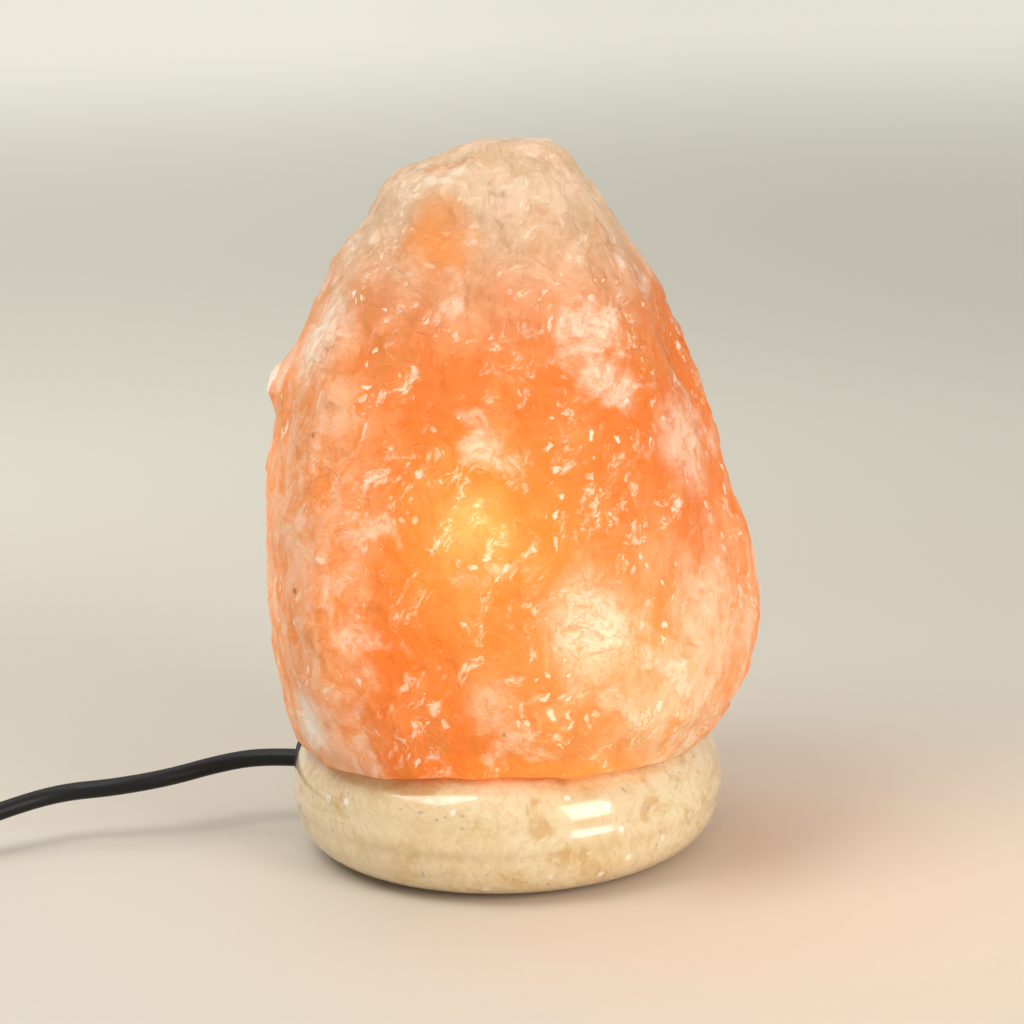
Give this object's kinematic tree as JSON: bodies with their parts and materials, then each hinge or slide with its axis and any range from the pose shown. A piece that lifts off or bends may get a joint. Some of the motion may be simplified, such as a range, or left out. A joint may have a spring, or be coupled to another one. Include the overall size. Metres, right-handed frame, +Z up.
{
  "type": "salt crystal lamp",
  "caption": "Hewn rock salt crystal standing on a round polished stone foot, lit from inside by a small screw-base bulb on a mains lead with inline switch.",
  "frame": {"origin": "middle of the foot's felt ring, on the surface the lamp stands on", "axes": "+Z up, the front of the lamp faces -Y, the mains lead leaves towards -X"},
  "size_m": [0.4195, 0.127, 0.195],
  "materials": {
    "salt": "translucent hewn rock salt, orange with pale bands",
    "stone": "polished cream fossil limestone",
    "felt": "pressed felt",
    "rubber": "matt moulded rubber",
    "spring_steel": "bright spring steel",
    "holder_plastic": "heat-proof moulded resin",
    "brass": "bright brass",
    "steel": "zinc-plated screws",
    "core_brown": "brown insulation",
    "core_blue": "blue insulation",
    "cord_black": "flexible sheath",
    "solder": "dull solder",
    "vitrite": "black fused glass",
    "nickel": "nickel plate",
    "bulb_glass": "clear lamp glass",
    "tungsten": "drawn wire",
    "switch_black": "fine spark texture",
    "rocker_black": "smooth moulded",
    "plug_black": "fine spark texture"
  },
  "bodies": {
    "foot": {"felt_ring": "felt", "stone_base": "stone", "cord_grommet": "rubber", "holder_spring_clip": "spring_steel", "holder_body": "holder_plastic", "holder_lower_cap": "holder_plastic", "holder_cord_grip": "holder_plastic", "holder_contact_block": "holder_plastic", "holder_shell": "brass", "holder_centre_contact": "brass", "holder_terminal_live": "brass", "holder_terminal_neutral": "brass", "holder_screw_live": "steel", "holder_screw_neutral": "steel", "core_live": "core_brown", "core_neutral": "core_blue", "cord_inside": "cord_black", "cord_lamp_side": "cord_black", "switch_boot_in": "rubber", "switch_boot_out": "rubber", "switch_lower_shell": "switch_black", "switch_upper_shell": "switch_black", "switch_screw_in": "steel", "switch_screw_out": "steel", "switch_contact_in": "brass", "switch_contact_out": "brass", "switch_bridge": "brass", "switch_neutral_link": "brass", "cord_to_coil": "cord_black", "cord_coil": "cord_black", "cord_tail": "cord_black", "plug_boot": "rubber", "plug_body": "plug_black", "plug_pin_a": "nickel", "plug_pin_b": "nickel"},
    "crystal": {"salt_crystal": "salt"},
    "bulb_travel": {"bulb_tip": "solder", "bulb_insulator": "vitrite"},
    "bulb": {"bulb_cap": "nickel", "bulb_glass": "bulb_glass", "bulb_stem": "bulb_glass", "bulb_filament": "tungsten"},
    "rocker": {"switch_rocker": "rocker_black"}
  },
  "joints": [
    {"name": "crystal_lift", "type": "slide", "parent": "foot", "child": "crystal", "axis": [0, 0, 1], "range_m": [0, 0.12]},
    {"name": "bulb_rise", "type": "slide", "parent": "foot", "child": "bulb_travel", "axis": [0, 0, 1], "range_m": [0, 0.0142]},
    {"name": "bulb_unscrew", "type": "hinge", "parent": "bulb_travel", "child": "bulb", "pos_m": [0, 0, 0.0428], "axis": [0, 0, 1], "range_deg": [0, 1800]},
    {"name": "switch_rock", "type": "hinge", "parent": "foot", "child": "rocker", "pos_m": [-0.20972, -0.0214, 0.014], "axis": [0.2419, -0.9703, 0], "range_deg": [0, 24]}
  ],
  "couplings": [
    {"joint": "bulb_rise", "follows": "bulb_unscrew", "m_per_rad": 0.00044913}
  ]
}
